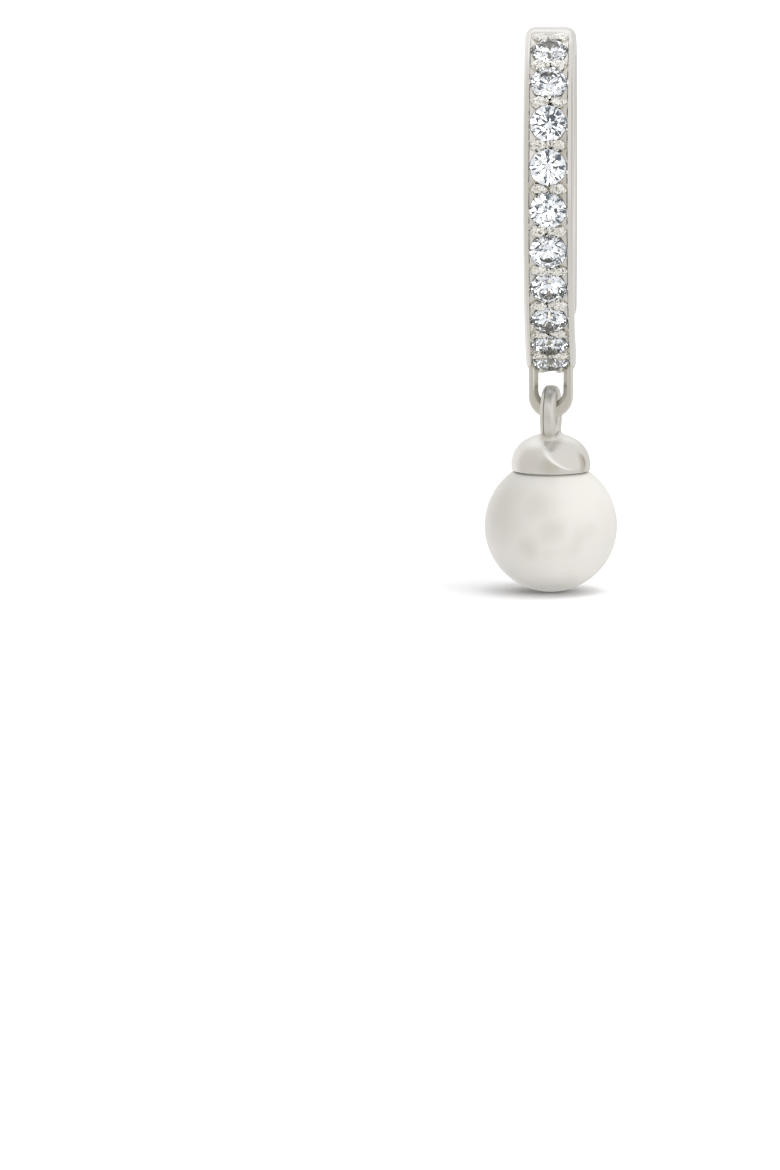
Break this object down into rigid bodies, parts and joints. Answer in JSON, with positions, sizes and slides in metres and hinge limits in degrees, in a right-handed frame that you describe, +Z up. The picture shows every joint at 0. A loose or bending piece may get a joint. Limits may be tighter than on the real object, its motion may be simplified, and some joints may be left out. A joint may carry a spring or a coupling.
{
  "type": "pearl drop huggie earring",
  "caption": "Oval hinged huggie hoop with a front row of round clear stones, a soldered loop, and a capped round pearl that hangs free from a bail ring.",
  "frame": {"origin": "middle of the ear post's free stretch, where the ear lobe carries the earring", "axes": "+Z up, the stones face -Y, +X to the right of somebody who looks at the stones"},
  "size_m": [0.006, 0.0115, 0.0258],
  "materials": {
    "hoop_metal": "polished, warm silver",
    "post_metal": "drawn and polished",
    "cap_metal": "polished, warm silver",
    "clear_stone": "facetted and polished",
    "pearl": "satin nacre"
  },
  "bodies": {
    "front": {"front_hoop": "hoop_metal", "ear_post": "post_metal", "hinge_pin": "post_metal", "stone_01": "clear_stone", "stone_02": "clear_stone", "stone_03": "clear_stone", "stone_04": "clear_stone", "stone_05": "clear_stone", "stone_06": "clear_stone", "stone_07": "clear_stone", "stone_08": "clear_stone", "stone_09": "clear_stone", "stone_10": "clear_stone"},
    "back": {"back_hoop": "hoop_metal"},
    "drop": {"pearl_cap": "cap_metal", "pearl": "pearl"}
  },
  "joints": [
    {"name": "back_hinge", "type": "hinge", "parent": "front", "child": "back", "pos_m": [0, 0.00077, -0.01419], "axis": [-1, 0, 0], "range_deg": [0, 60]},
    {"name": "drop_swing", "type": "hinge", "parent": "front", "child": "drop", "pos_m": [0, -0.00129, -0.01675], "axis": [1, 0, 0], "range_deg": [-60, 60]}
  ]
}
